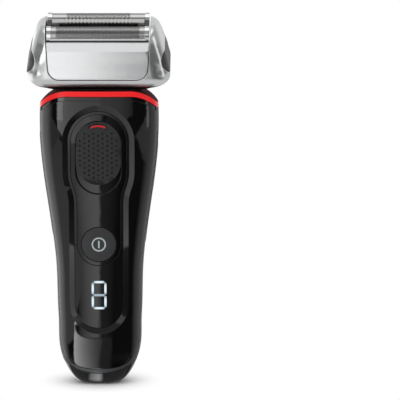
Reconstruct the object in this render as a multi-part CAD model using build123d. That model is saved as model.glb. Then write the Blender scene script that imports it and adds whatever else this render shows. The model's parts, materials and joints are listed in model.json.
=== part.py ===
from build123d import *
from functools import lru_cache
import math
import os

# A foil shaver standing on its foot, its head tilted forward. Millimetres.
# X runs to the right seen from the front, -Y is the front and +Z is up.
# The origin is the middle of the charging inlet's mouth, level with the foot.

# Handle outline at five heights: half width, and reach to the front and to the back
base_height = 18.0
waist_height = 42.0
shoulder_height = 113.0
handle_height = 126.5
foot_half_width = 7.5
foot_front = 6.5
foot_back = 6.5
base_half_width = 17.5
base_front = 13.0
base_back = 13.6
waist_half_width = 18.2
waist_front = 14.0
waist_back = 15.0
shoulder_half_width = 25.2
shoulder_front = 16.0
shoulder_back = 19.0
rim_half_width = 24.6
rim_front = 15.4
rim_back = 18.2
base_rounding = 1.6
front_squareness = 3.0
back_squareness = 2.4
section_points = 20
rim_spare = 2.5
wall = 1.8

# Where the handle's shells, cap and collar part
seam_y = -7.0
seam_turn_height = 20.7
seam_radius = 25.0
seam_turn = 60.0
seam_gap = 0.35
gasket_sink = 0.4
part_gap = 0.15
cap_middle_height = 5.2
cap_side_height = 10.8
cap_side_reach = 16.0
collar_height = 2.2
collar_side_height = 120.5
saddle_flat = 13.0
brow_height = 1.6
brow_depth = 0.4

# Front panel: a keyhole, wide round the slider and narrow round the display
panel_head_radius = 12.9
panel_tail_radius = 10.3
panel_head_z = 105.2
panel_neck_top = 92.7
panel_neck_low = 78.5
panel_tail_z = 35.5
panel_bevel_width = 2.4
panel_bevel_depth = 0.75
bezel_sink = 0.45
bezel_width = 1.1
panel_sink = 0.9
panel_thickness = 1.5
panel_fit = 0.1
lens_sink = 0.6

# Lock slider
slider_z = 100.4
slider_radius = 9.5
slider_length = 26.8
slider_travel = 3.9
slider_gap = 0.3
slider_proud = 0.6
recess_depth = 1.7
recess_floor = 1.0
recess_rim = 1.2
mark_radius = 7.35
mark_width = 0.75
mark_half_span = 3.1
mark_depth = 0.4
bolt_half_width = 2.0
bolt_stem_length = 6.0
bolt_plate_half_width = 6.0
bolt_plate_length = 16.0
bolt_thickness = 1.2
tongue_half_width = 3.0
tongue_top = 120.0

# Power button
button_z = 61.4
button_radius = 7.25
button_gap = 0.25
button_proud = 0.25
button_travel = 0.8
flange_overlap = 0.9
flange_thickness = 0.8
symbol_radius = 3.05
symbol_stroke = 0.65
symbol_bar_length = 3.2
symbol_bar_width = 0.7
symbol_depth = 0.35

# Seven-segment display
digit_z = 39.6
digit_width = 6.3
digit_height = 12.2
segment_width = 0.95
segment_gap = 0.2

# Inside the handle
frame_half_width = 11.5
frame_thickness = 1.4
frame_back = -2.8
frame_low = 16.0
frame_flange_top = 112.0
frame_flange_thickness = 2.5
frame_flange_half_width = 15.0
board_half_width = 9.0
board_thickness = 1.2
board_low = 22.0
board_top = 86.0
standoff_radius = 1.5
standoff_length = 2.0
standoff_x = 6.5
standoff_inset = 5.0
switch_size = 6.0
switch_height = 1.6
switch_dome_radius = 1.7
switch_slack = 0.1
led_half_width = 4.6
led_margin = 1.0
led_gap = 0.2
cell_radius = 7.1
cell_length = 50.0
cell_y = 5.2
cell_low = 28.0
cell_nub_radius = 2.4
cell_nub_height = 1.0
clip_thickness = 1.3
clip_height = 6.0
clip_inset = 8.0
clip_fit = 0.05
boss_x = 9.7
boss_radius = 2.3
boss_low_z = 23.0
boss_high_z = 100.0
screw_radius = 1.0
screw_head_radius = 1.9
screw_head_height = 1.1
screw_length = 7.0

# Charging inlet in the foot
inlet_half_x = 4.5
inlet_half_y = 2.8
inlet_corner = 2.0
inlet_wall = 1.0
inlet_depth = 10.0
inlet_sink = 0.4
pin_x = 2.0
pin_radius = 0.8
pin_tip_z = 4.7

# Long-hair trimmer on the back
pocket_half_width = 11.3
pocket_floor_y = 15.6
pocket_low = 84.0
trimmer_gap = 0.3
trimmer_top = 115.9
ridge_count = 4
ridge_pitch = 3.0
ridge_height = 0.5
ridge_low = 88.0
ridge_half_width = 6.5
comb_half_width = 8.5
comb_y = 16.1
comb_thickness = 0.55
comb_low = 104.9
comb_root = 117.5
comb_tip = 120.5
comb_pitch = 1.2
tooth_share = 0.5
cutter_gap = 0.06
cutter_short = 0.5
trimmer_stroke = 0.5
blade_gap = 0.3

# Head pivot and yoke
pivot_z = 136.2
head_tilt = 20.0
swing = 40.0
pivot_pin_radius = 1.5
pivot_fit = 0.05
arm_inner = 15.6
arm_outer = 18.4
arm_radius = 3.4
arm_gap = 0.4
yoke_half_width = 19.0
yoke_half_depth = 6.0
yoke_thickness = 3.0
pivot_pin_inner = 13.6
pivot_end_gap = 0.2

# Head, measured from the pivot along the tilted head
head_half_width = 30.3
head_half_depth = 16.3
head_corner = 7.5
head_top = 20.2
head_bottom = 6.6
wing_narrowing = 0.0865
wing_narrowing_power = 1.383
wing_round = 1.2
plate_top = 16.0
head_narrowing = 0.085
head_narrowing_power = 1.33
crown_round = 7.6
crown_corner = 3.6
keel_half_width = 17.0
keel_half_depth = 5.0
keel_corner = 4.5
frame_split = -2.6

# Notch in the head that the cassette drops into
notch_floor = 0.5
notch_low_half = 20.9
notch_high_half = 22.2
notch_high = 22.0
notch_corner = 5.2
cassette_fit = 0.35

# Drive core inside the head
core_half_length = 18.7
core_half_depth = 10.6
core_top = 9.5
core_fit = 0.3
motor_half_length = 12.5
motor_half_depth = 9.2
motor_floor = -4.1
deck_thickness = 1.3
stator_half_length = 11.5
stator_half_depth = 8.6
stator_base = 1.7
pole_half_length = 8.0
pole_half_depth = 1.3
pole_top = 1.5
coil_thickness = 3.2
coil_fit = 0.1
coil_sink = 0.4
air_gap = 0.7
bridge_half_length = 9.0
bridge_thickness = 3.6
bridge_outer = 8.7
bridge_gap = 0.5
drive_pin_radius = 1.1
middle_pin_radius = 0.6
drive_pin_top = 14.0
drive_stroke = 1.0
slot_gap = 0.35
rod_radius = 0.7
rod_fit = 0.05
rod_seat = 0.8
rod_places = (-6.6, -3.0, 3.0, 6.6)

# Release buttons on the sides of the head
release_half_depth = 13.0
release_half_height = 4.3
release_z = 6.0
release_gap = 0.25
release_inner = 26.2
release_travel = 1.2
release_slack = 0.3

# Cassette
plate_thickness = 1.2
plate_seat = 0.03
crease_height = 12.6
crease_slope = 0.45
cassette_top = 16.0
core_roof_gap = 0.7
cassette_floor_thickness = 1.0
cassette_end_wall = 0.8
cassette_well_half_depth = 11.0

# Foils, their frames and the inner cutters
foil_offset = 6.9
foil_top = 20.8
foil_radius = 3.3
foil_thickness = 0.2
foil_half_length = 19.6
foil_leg = 2.2
foil_float = 2.0
foil_seat = 0.05
foil_slot_pitch = 1.5
foil_slot_width = 0.8
foil_slot_margin = 1.6
foil_slot_rows = 4
foil_slot_web = 9.0
foil_frame_half_depth = 3.9
foil_rail_drop = 0.3
foil_float_gap = 0.2
foil_frame_slack = 0.2
foil_end_low = 16.3
foil_end_half_length = 21.45
foil_end_rise = 0.25
blade_fit = 0.08
blade_depth = 1.0
blade_thickness = 0.4
blade_pitch = 1.5
blade_count = 24
cutter_half_length = 18.0
pin_slot_fit = 0.1
pin_slot_roof = 0.35

# Middle trimmer between the foils
guard_half_length = 19.4
guard_half_depth = 1.7
guard_root = 1.0
guard_tip = 2.6
guard_top = 20.7
guard_thickness = 0.45
guard_pitch = 1.57
guard_teeth = 18
guard_foot = 16.6
carrier_top = 18.2
carrier_half_depth = 2.7
carrier_wall = 0.8
carrier_end_top = 19.8
middle_half_length = 15.0
middle_root = 0.9
middle_tip = 2.2
middle_thickness = 0.7
middle_blade_gap = 0.1
middle_pitch = 1.4
middle_stem_half_depth = 1.3
middle_stem_half_length = 4.0

# A length beyond everything that is cut
beyond = 80.0


def box(x, y, z):
    """Block between pairs of limits."""
    middle = Pos((x[0] + x[1]) / 2, (y[0] + y[1]) / 2, (z[0] + z[1]) / 2)
    return middle * Box(x[1] - x[0], y[1] - y[0], z[1] - z[0])


def both(half):
    return -half, half


def both_about(middle, half):
    return middle - half, middle + half


def along_x(face, start, end):
    """Push a face drawn in Y and Z along X."""
    return extrude(Pos(start, 0, 0) * (Plane.YZ * face), amount=end - start, dir=(1, 0, 0))


def along_y(face, start, end):
    """Push a face drawn in X and Z along Y."""
    return extrude(Pos(0, start, 0) * (Plane.XZ * face), amount=end - start, dir=(0, 1, 0))


def along_z(face, start, end):
    return extrude(Pos(0, 0, start) * face, amount=end - start, dir=(0, 0, 1))


def arc_about(middle, radius, start, end):
    """Arc round a point between two angles in degrees."""
    points = []
    for angle in (start, (start + end) / 2, end):
        turn = math.radians(angle)
        points.append((middle[0] + radius * math.cos(turn), middle[1] + radius * math.sin(turn)))
    return ThreePointArc(*points)


def polygon(*points):
    return make_face(Polyline(*points, close=True))


def stadium(middle_z, length, radius):
    """Upright slot shape."""
    return Pos(0, middle_z) * SlotOverall(length, 2 * radius, rotation=90)


def spread(low, high, count):
    """Evenly spaced heights from low up to, not including, high."""
    return [low + (high - low) * step / count for step in range(count)]


def ease(low, high, share):
    return low + (high - low) * share * share * (3 - 2 * share)


def reach(height, foot, base, waist, shoulder, rim):
    """How far the handle's outline stands from its axis at a height."""
    if height < base_height:
        drop = 1 - height / base_height
        return foot + (base - foot) * (1 - drop ** base_rounding) ** (1 / base_rounding)
    if height < waist_height:
        return ease(base, waist, (height - base_height) / (waist_height - base_height))
    if height < shoulder_height:
        return ease(waist, shoulder, (height - waist_height) / (shoulder_height - waist_height))
    past = (height - shoulder_height) / (handle_height - shoulder_height)
    return shoulder + (rim - shoulder) * past ** 2


def half_width_at(z):
    return reach(z, foot_half_width, base_half_width, waist_half_width, shoulder_half_width, rim_half_width)


def front_at(z):
    return reach(z, foot_front, base_front, waist_front, shoulder_front, rim_front)


def back_at(z):
    return reach(z, foot_back, base_back, waist_back, shoulder_back, rim_back)


def section(half_width, front, back, z):
    """Closed oval across the handle, squarer in front than behind."""
    points = []
    for step in range(section_points):
        angle = 2 * math.pi * step / section_points
        across, along = math.cos(angle), math.sin(angle)
        depth, power = (back, back_squareness) if along > 0 else (front, front_squareness)
        ray = (abs(across / half_width) ** power + abs(along / depth) ** power) ** (-1 / power)
        points.append((ray * across, ray * along, z))
    return Face(Wire([Edge.make_spline(points, periodic=True)]))


@lru_cache(maxsize=None)
def body(inset):
    """The handle's outer form, shrunk evenly by inset."""
    heights = [base_height * share for share in (0, 0.13, 0.35, 0.65)]
    heights += spread(base_height, waist_height, 3)
    heights += spread(waist_height, shoulder_height, 7)
    heights += spread(shoulder_height, handle_height, 2)
    heights += [handle_height, handle_height + rim_spare]
    sections = []
    for z in heights:
        lifted = z + inset * max(0, 1 - z / base_height)
        sides = (half_width_at(z) - inset, front_at(z) - inset, back_at(z) - inset)
        sections.append(section(*sides, lifted))
    return loft(sections)


def layer(prism, outside, inside):
    """The part of a prism that lies between two depths under the handle's surface."""
    return (prism & body(outside)) - body(inside)


def saddle(drop):
    """Everything above the handle's saddle-shaped top, lowered by drop."""
    top = handle_height - drop
    fall = handle_height - collar_side_height
    span = shoulder_half_width - saddle_flat
    radius = (span ** 2 + fall ** 2) / (2 * fall)
    turn = math.degrees(math.asin(span / radius))
    tail = (saddle_flat + span + fall * math.cos(math.radians(turn)),
            top - fall - fall * math.sin(math.radians(turn)))
    ceiling = top + beyond
    edges = [Line((-saddle_flat, top), (saddle_flat, top))]
    for side in (-1, 1):
        middle = (side * saddle_flat, top - radius)
        edges.append(arc_about(middle, radius, 90, 90 - side * turn))
        edges.append(Line((side * (saddle_flat + span), top - fall), (side * tail[0], tail[1])))
        edges.append(Line((side * tail[0], tail[1]), (side * tail[0], ceiling)))
    edges.append(Line((-tail[0], ceiling), (tail[0], ceiling)))
    return along_y(make_face(edges), -beyond, beyond)


def front_zone(shift):
    """Everything in front of the seam of the shells, with the seam moved back by shift."""
    line = seam_y + shift
    turn = math.radians(seam_turn)
    end = (line - seam_radius * (1 - math.cos(turn)), seam_turn_height - seam_radius * math.sin(turn))
    ceiling = handle_height + beyond
    edges = [
        Line((line, ceiling), (line, seam_turn_height)),
        arc_about((line - seam_radius, seam_turn_height), seam_radius, 0, -seam_turn),
        Line(end, (-beyond, end[1])),
        Line((-beyond, end[1]), (-beyond, ceiling)),
        Line((-beyond, ceiling), (line, ceiling)),
    ]
    return along_x(make_face(edges), -beyond, beyond)


def cap_zone(lift):
    """Everything below the line where the end cap begins."""
    side = cap_side_height + lift
    middle = cap_middle_height + lift
    edges = [
        ThreePointArc((-cap_side_reach, side), (0, middle), (cap_side_reach, side)),
        Line((cap_side_reach, side), (beyond, side)),
        Line((beyond, side), (beyond, -beyond)),
        Line((beyond, -beyond), (-beyond, -beyond)),
        Line((-beyond, -beyond), (-beyond, side)),
        Line((-beyond, side), (-cap_side_reach, side)),
    ]
    return along_y(make_face(edges), -beyond, beyond)


def ogee(start, end, heading):
    """Two equal arcs that leave and arrive along the same heading."""
    middle = ((start[0] + end[0]) / 2, (start[1] + end[1]) / 2)
    back = (-heading[0], -heading[1])
    return [TangentArc(start, middle, tangent=heading), TangentArc(end, middle, tangent=back)]


def keyhole(grow):
    """Outline of the front panel, made larger all round by grow."""
    head = panel_head_radius + grow
    tail = panel_tail_radius + grow
    edges = [
        ThreePointArc((-head, panel_head_z), (0, panel_head_z + head), (head, panel_head_z)),
        ThreePointArc((-tail, panel_tail_z), (0, panel_tail_z - tail), (tail, panel_tail_z)),
    ]
    for side in (-1, 1):
        edges.append(Line((side * head, panel_head_z), (side * head, panel_neck_top)))
        edges += ogee((side * head, panel_neck_top), (side * tail, panel_neck_low), (0, -1))
        edges.append(Line((side * tail, panel_neck_low), (side * tail, panel_tail_z)))
    return make_face(edges)


def keyhole_prism(grow):
    return along_y(keyhole(grow), -beyond, seam_y)


def above_button(grow):
    """Everything higher than the middle of the button, seen from the front."""
    low = button_z - grow
    return Pos(0, (low + handle_height) / 2) * Rectangle(beyond, handle_height - low)


def button_cup(grow):
    """Upper part of the front panel: it ends in a half circle under the button."""
    radius = panel_tail_radius - bezel_width - panel_fit + grow
    return along_y(above_button(grow) + Pos(0, button_z) * Circle(radius), -beyond, seam_y)


def trimmer_pocket(grow, floor):
    """Channel down the back that the long-hair trimmer slides in."""
    half = pocket_half_width + grow
    return box(both(half), (floor, beyond), (pocket_low - grow, handle_height + beyond))


@lru_cache(maxsize=None)
def handle_cavity():
    keep = trimmer_pocket(wall, pocket_floor_y - wall)
    return body(wall) - keep


def handle_shell():
    shell = body(0) - handle_cavity()
    return shell - saddle(collar_height + part_gap) - cap_zone(part_gap)


def front_y(x, z, inset):
    """Where the handle's front face is, at a depth under its surface."""
    share = (abs(x) / (half_width_at(z) - inset)) ** front_squareness
    return -(front_at(z) - inset) * (1 - share) ** (1 / front_squareness)


def make_front_shell(shell):
    """Gloss front housing, bevelled round the keyhole and stepped under the collar."""
    front = (shell & front_zone(-seam_gap / 2)) - keyhole_prism(0)
    outside = front.faces().sort_by(SortBy.AREA)[-1]
    rim = outside.inner_wires()[0].edges()
    front = chamfer(rim, panel_bevel_width, panel_bevel_depth, reference=outside)
    return front - layer(saddle(collar_height + part_gap + brow_height), 0, brow_depth)


def boss_places():
    return [(x, z) for x in both(boss_x) for z in (boss_low_z, boss_high_z)]


def screw_shank(x, z):
    start = frame_back - frame_thickness
    return along_y(Pos(x, z) * Circle(screw_radius), start, start + screw_length)


def make_rear_shell(shell):
    """Soft-touch back housing with screw bosses and the trimmer's channel."""
    rear = shell - front_zone(seam_gap / 2)
    for x, z in boss_places():
        boss = along_y(Pos(x, z) * Circle(boss_radius), frame_back, beyond)
        rear += boss & body(wall / 2)
    rear -= trimmer_pocket(0, pocket_floor_y)
    for x, z in boss_places():
        rear -= screw_shank(x, z)
    return rear


def make_frame_screws():
    screws = []
    seat = frame_back - frame_thickness
    for x, z in boss_places():
        head = along_y(Pos(x, z) * Circle(screw_head_radius), seat - screw_head_height, seat)
        screws.append(head + screw_shank(x, z))
    return screws


def make_seam_gasket():
    ring = layer(front_zone(seam_gap / 2) - front_zone(-seam_gap / 2), gasket_sink, wall)
    return ring - saddle(collar_height + part_gap) - cap_zone(part_gap)


def arm_slots(gap):
    """Room round the yoke's two arms, along the handle."""
    slots = []
    for side in (-1, 1):
        x = sorted((side * (arm_inner - gap), side * (arm_outer + gap)))
        slots.append(box(x, both(arm_radius + gap), (shoulder_height, handle_height + beyond)))
    return slots


def make_collar():
    """Red deck and rim on top of the handle."""
    deck = (body(0) & saddle(collar_height)) - saddle(0)
    return deck - arm_slots(arm_gap) - trimmer_pocket(0, pocket_floor_y)


def inlet_outline(grow):
    return RectangleRounded(2 * (inlet_half_x + grow), 2 * (inlet_half_y + grow), inlet_corner + grow)


def make_end_cap():
    cap = body(0) & cap_zone(0)
    return cap - along_z(inlet_outline(inlet_wall), -beyond, beyond)


def make_inlet_pins():
    roof = inlet_depth + inlet_wall
    return [along_z(Pos(x, 0) * Circle(pin_radius), pin_tip_z, roof) for x in both(pin_x)]


def make_inlet_socket():
    cup = along_z(inlet_outline(inlet_wall), inlet_sink, inlet_depth + inlet_wall)
    return cup - along_z(inlet_outline(0), -beyond, inlet_depth) - make_inlet_pins()


def make_bezel():
    """Bead round the upper front panel, down to the display lens."""
    ring = (keyhole(0) - keyhole(-bezel_width)) & above_button(0)
    return layer(along_y(ring, -beyond, seam_y), bezel_sink, panel_sink + panel_thickness)


@lru_cache(maxsize=None)
def lens_layer():
    """Smoked cover over the display, as wide as the keyhole."""
    room = keyhole_prism(-panel_fit) - button_cup(part_gap)
    return layer(room, lens_sink, panel_sink + panel_thickness)


def recess(grow):
    """Slot shape that the lock slider moves in."""
    length = slider_length + slider_travel + 2 * (slider_gap + grow)
    return stadium(slider_z - slider_travel / 2, length, slider_radius + slider_gap + grow)


def bolt_slot():
    half = bolt_half_width + slider_gap
    low = slider_z - bolt_stem_length / 2 - slider_travel - slider_gap
    high = slider_z + bolt_stem_length / 2 + slider_gap
    return box(both(half), (-beyond, seam_y), (low, high))


def make_control_panel():
    """Upper front panel with the slider's recess and the button's hole."""
    bed_back = panel_sink + recess_depth + recess_floor
    bed = layer(along_y(recess(recess_rim), -beyond, seam_y), panel_sink, bed_back)
    upper = keyhole_prism(-bezel_width - panel_fit) & button_cup(0)
    panel = layer(upper, panel_sink, panel_sink + panel_thickness) + bed
    panel -= layer(along_y(recess(0), -beyond, seam_y), 0, panel_sink + recess_depth)
    panel -= bolt_slot()
    return panel - along_y(Pos(0, button_z) * Circle(button_radius + button_gap), -beyond, seam_y)


def slider_mark_prism():
    middle = Pos(0, slider_z + slider_length / 2 - slider_radius)
    arc = middle * (Circle(mark_radius + mark_width) - Circle(mark_radius))
    window = middle * Pos(0, beyond / 2) * Rectangle(2 * mark_half_span, beyond)
    return along_y(arc & window, -beyond, seam_y)


@lru_cache(maxsize=None)
def make_slider_mark():
    top = panel_sink - slider_proud
    return layer(slider_mark_prism(), top, top + mark_depth)


def slider_back():
    return panel_sink + recess_depth - slider_gap / 2


def make_lock_slider():
    knob = along_y(stadium(slider_z, slider_length, slider_radius), -beyond, seam_y)
    return layer(knob, panel_sink - slider_proud, slider_back()) - make_slider_mark()


def make_lock_bolt():
    """Stem behind the slider, with the plate and tongue that lock the head."""
    low = slider_z - bolt_plate_length / 2
    front = front_y(0, low - slider_travel, panel_sink + recess_depth + recess_floor) + slider_gap
    back = front + bolt_thickness
    stem = box(both(bolt_half_width), (-beyond, back), both_about(slider_z, bolt_stem_length / 2))
    plate = box(both(bolt_plate_half_width), (front, back), both_about(slider_z, bolt_plate_length / 2))
    tongue = box(both(tongue_half_width), (front, back), (slider_z, tongue_top))
    return (stem & body(slider_back())) + plate + tongue


def flange_front():
    """Plane behind the control panel that the button's flange rests on."""
    edge = button_radius + flange_overlap
    return front_y(edge, button_z - edge, panel_sink + panel_thickness) + button_gap


def symbol_prism():
    ring = Circle(symbol_radius) - Circle(symbol_radius - symbol_stroke)
    mark = ring + Rectangle(symbol_bar_width, symbol_bar_length)
    return along_y(Pos(0, button_z) * mark, -beyond, seam_y)


@lru_cache(maxsize=None)
def make_power_symbol():
    top = panel_sink - button_proud
    return layer(symbol_prism(), top, top + symbol_depth)


def make_power_button():
    back = flange_front() + flange_thickness
    middle = Pos(0, button_z)
    cap = along_y(middle * Circle(button_radius), -beyond, back) & body(panel_sink - button_proud)
    flange = along_y(middle * Circle(button_radius + flange_overlap), flange_front(), back)
    return (cap + flange) - make_power_symbol()


def board_front():
    return frame_back - frame_thickness - standoff_length - board_thickness


def make_power_switch():
    """Push switch on the board, just clear of the pressed button."""
    foot = board_front()
    top = flange_front() + flange_thickness + button_travel + switch_slack
    case = box(both(switch_size / 2), (foot - switch_height, foot), both_about(button_z, switch_size / 2))
    return case + along_y(Pos(0, button_z) * Circle(switch_dome_radius), top, foot)


def segment(x, z, length, upright):
    """One pointed bar of the digit."""
    half, side = length / 2, segment_width / 2
    bar = polygon((-half, 0), (side - half, side), (half - side, side),
                  (half, 0), (half - side, -side), (side - half, -side))
    return Pos(x, z) * Rot(0, 0, 90 if upright else 0) * bar


def segment_prisms():
    across = digit_width - segment_width - 2 * segment_gap
    down = (digit_height - segment_width) / 2
    x = (digit_width - segment_width) / 2
    bars = [segment(0, digit_z + step * down, across, False) for step in (-1, 0, 1)]
    for side in (-1, 1):
        for step in (-1, 1):
            bars.append(segment(side * x, digit_z + step * down / 2, down - 2 * segment_gap, True))
    return [along_y(bar, -beyond, seam_y) for bar in bars]


def make_display_segments():
    return [bar & lens_layer() for bar in segment_prisms()]


def make_display_lens():
    return lens_layer() - segment_prisms()


def make_led_block():
    half = digit_height / 2 + led_margin
    block = box(both(led_half_width), (-beyond, board_front()), both_about(digit_z, half))
    return block & body(panel_sink + panel_thickness + led_gap)


def make_main_board():
    front = board_front()
    return box(both(board_half_width), (front, front + board_thickness), (board_low, board_top))


def make_inner_frame():
    """Carrier plate with battery clips, board standoffs and the flange under the yoke."""
    front = frame_back - frame_thickness
    frame = box(both(frame_half_width), (front, frame_back), (frame_low, frame_flange_top))
    shelf = (frame_flange_top - frame_flange_thickness, frame_flange_top)
    frame += box(both(frame_flange_half_width), both(yoke_half_depth), shelf)
    inner = cell_radius + clip_fit
    hoop = Pos(0, cell_y) * (Circle(inner + clip_thickness) - Circle(inner))
    hoop -= Pos(0, cell_y + inner) * Rectangle(beyond, inner)
    for low in (cell_low + clip_inset, cell_low + cell_length - clip_inset - clip_height):
        frame += along_z(hoop, low, low + clip_height)
    for x in both(standoff_x):
        for z in (board_low + standoff_inset, board_top - standoff_inset):
            frame += along_y(Pos(x, z) * Circle(standoff_radius), front - standoff_length, front)
    for x, z in boss_places():
        frame -= screw_shank(x, z)
    return frame


def make_battery_cell():
    spot = Pos(0, cell_y)
    can = along_z(spot * Circle(cell_radius), cell_low, cell_low + cell_length)
    top = cell_low + cell_length
    return can + along_z(spot * Circle(cell_nub_radius), top, top + cell_nub_height)


def make_neck_yoke():
    """Base on the inner frame with two arms that hold the pivot pins."""
    top = frame_flange_top + yoke_thickness
    yoke = box(both(yoke_half_width), both(yoke_half_depth), (frame_flange_top, top))
    middle = Pos(0, pivot_z)
    post = Pos(0, (top + pivot_z) / 2) * Rectangle(2 * arm_radius, pivot_z - top)
    arm = post + middle * Circle(arm_radius) - middle * Circle(pivot_pin_radius)
    for side in (-1, 1):
        x = sorted((side * arm_inner, side * arm_outer))
        yoke += along_x(arm, *x)
    return yoke


def make_pivot_pins():
    pin = Pos(0, pivot_z) * Circle(pivot_pin_radius)
    return [along_x(pin, *sorted((side * pivot_pin_inner, side * arm_outer))) for side in (-1, 1)]


def make_trimmer_carriage():
    """Sliding cover on the back, with thumb ridges and a slot for the blades."""
    room = trimmer_pocket(-trimmer_gap, pocket_floor_y + trimmer_gap)
    cover = (room & body(0)) & box(both(beyond), both(beyond), (0, trimmer_top))
    for step in range(ridge_count):
        z = ridge_low + step * ridge_pitch
        bar = box(both(ridge_half_width), (pocket_floor_y + trimmer_gap, beyond), (z, z + ridge_pitch / 2))
        cover += bar & body(-ridge_height)
    back = comb_y + 2 * comb_thickness + cutter_gap + blade_gap
    return cover - box(both(comb_half_width), (0, back), (comb_low, beyond + trimmer_top))


def toothed_plate(half_width, front, low, root, tip):
    """Flat blade with teeth along its top edge."""
    plate = box(both(half_width), (front, front + comb_thickness), (low, tip))
    count = int(2 * half_width / comb_pitch) - 1
    width = comb_pitch * (1 - tooth_share)
    gaps = []
    for step in range(count):
        x = (step - (count - 1) / 2) * comb_pitch
        gaps.append(box(both_about(x, width / 2), both(beyond), (root, beyond + tip)))
    return plate - gaps


def make_trimmer_comb():
    return toothed_plate(comb_half_width, comb_y, comb_low, comb_root, comb_tip)


def make_trimmer_cutter():
    front = comb_y + comb_thickness + cutter_gap
    half = comb_half_width - trimmer_stroke - blade_gap
    root = comb_root - cutter_short
    tip = comb_tip - cutter_short
    return toothed_plate(half, front, comb_low + blade_gap, root, tip)


def head_sides(w):
    """Half width, half depth and corner radius of the head at a height above the pivot."""
    if w < 0:
        round_off = math.sqrt(1 - (w / head_bottom) ** 2)
        half_width = keel_half_width + (head_half_width - keel_half_width) * round_off
        half_depth = keel_half_depth + (head_half_depth - keel_half_depth) * round_off
        return half_width, half_depth, keel_corner + (head_corner - keel_corner) * round_off
    half_width = head_half_width - wing_narrowing * w ** wing_narrowing_power
    half_depth = head_half_depth - head_narrowing * w ** head_narrowing_power
    if w <= plate_top:
        return half_width, half_depth, head_corner
    round_off = math.sqrt(1 - ((w - plate_top) / (head_top - plate_top)) ** 2)
    half_depth -= crown_round * (1 - round_off)
    corner = crown_corner + (head_corner - crown_corner) * round_off
    return half_width - wing_round * (1 - round_off), half_depth, corner


@lru_cache(maxsize=None)
def head_form(inset):
    """The head's outer form, upright about its pivot, shrunk evenly by inset."""
    heights = [-head_bottom * math.sin(math.radians(turn)) for turn in (90, 70, 50, 30, 15)]
    heights += spread(0, plate_top, 5)
    rise = head_top - plate_top
    heights += [plate_top + rise * math.sin(math.radians(turn)) for turn in (0, 25, 50, 72, 90)]
    sections = []
    for w in heights:
        half_width, half_depth, corner = head_sides(w)
        face = RectangleRounded(2 * (half_width - inset), 2 * (half_depth - inset), corner - inset)
        sections.append(Pos(0, 0, w) * face)
    return loft(sections)


def level(low, high):
    """Slab between two heights."""
    return box(both(beyond), both(beyond), (low, high))


def notch_half(w):
    share = (w - notch_floor) / (notch_high - notch_floor)
    return notch_low_half + (notch_high_half - notch_low_half) * share


def notch(grow):
    """Outline of the room that the cassette fills, seen from the front."""
    floor, top = notch_floor - grow, head_top + beyond
    low, high = notch_half(floor) + grow, notch_half(top) + grow
    face = polygon((-high, top), (-low, floor), (low, floor), (high, top))
    return fillet(face.vertices().sort_by(Axis.Y)[:2], notch_corner + grow)


def notch_prism(grow):
    return along_y(notch(grow), -beyond, beyond)


def release_outline(grow):
    length = 2 * (release_half_depth + grow)
    return Pos(0, release_z) * SlotOverall(length, 2 * (release_half_height + grow))


def release_pockets():
    """Room in the sides of the head for the release buttons and their travel."""
    start = release_inner - release_travel - release_slack
    outline = release_outline(release_gap)
    return [along_x(outline, *sorted((side * start, side * beyond))) for side in (-1, 1)]


def make_head_frame():
    """Silver frame: two wings joined by a lip in front and behind."""
    frame = head_form(0) & level(frame_split, beyond)
    frame -= notch_prism(0)
    frame -= core_block(part_gap, -beyond, core_top + part_gap)
    return frame - release_pockets()


def make_release_button(side):
    pad = along_x(release_outline(0), *sorted((side * release_inner, side * beyond)))
    return pad & head_form(0)


def core_block(grow, low, high):
    return box(both(core_half_length + grow), both(core_half_depth + grow), (low, high))


def arm_sweep():
    """Room in the head for the yoke's arms over the whole swing."""
    half = arm_radius + arm_gap
    lean = math.radians(swing / 2)
    low = -head_bottom - head_half_depth
    spread_out = half / math.cos(lean) - low * math.tan(lean)
    face = polygon((-half, 0), (half, 0), (spread_out, low), (-spread_out, low)) + Circle(half)
    sides = []
    for side in (-1, 1):
        x = sorted((side * (arm_inner - arm_gap), side * (arm_outer + arm_gap)))
        sides.append(along_x(face, *x))
    return sides


def pivot_bores():
    bore = Circle(pivot_pin_radius + pivot_fit)
    start = pivot_pin_inner - pivot_end_gap
    return [along_x(bore, *sorted((side * start, side * arm_outer))) for side in (-1, 1)]


def rod_height():
    return pole_top + air_gap + bridge_thickness / 2


def rods(grow, half_length):
    face = Circle(rod_radius + grow)
    return [along_x(Pos(v, rod_height()) * face, -half_length, half_length) for v in rod_places]


def make_head_base():
    """Black underside with the tub that holds the motor and the pivot bearings."""
    base = head_form(0) & level(-beyond, frame_split - part_gap)
    base += core_block(0, frame_split - stator_base, core_top - deck_thickness)
    base -= box(both(motor_half_length), both(motor_half_depth), (motor_floor, beyond))
    base = base - arm_sweep() - pivot_bores()
    return base - rods(0, motor_half_length + rod_seat)


def make_drive_rods():
    return rods(0, motor_half_length + rod_seat)


def drive_pins():
    """Place across the head and radius of each drive pin."""
    return [(-foil_offset, drive_pin_radius), (0, middle_pin_radius), (foil_offset, drive_pin_radius)]


def make_drive_deck():
    deck = core_block(0, core_top - deck_thickness, core_top)
    for v, radius in drive_pins():
        half = radius + drive_stroke + slot_gap
        deck -= box(both(half), both_about(v, radius + slot_gap), (0, beyond))
    return deck


def make_motor_core():
    """Stator of the linear motor: a base with three poles."""
    top = motor_floor + stator_base
    core = box(both(stator_half_length), both(stator_half_depth), (motor_floor, top))
    for step in (-1, 0, 1):
        v = step * (stator_half_depth - pole_half_depth)
        core += box(both(pole_half_length), both_about(v, pole_half_depth), (motor_floor, pole_top))
    return core


def make_motor_coil():
    inner_x, inner_y = pole_half_length + coil_fit, pole_half_depth + coil_fit
    outer = RectangleRounded(2 * (inner_x + coil_thickness), 2 * (inner_y + coil_thickness), coil_thickness)
    ring = outer - Rectangle(2 * inner_x, 2 * inner_y)
    return along_z(ring, motor_floor + stator_base, pole_top - coil_sink)


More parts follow.
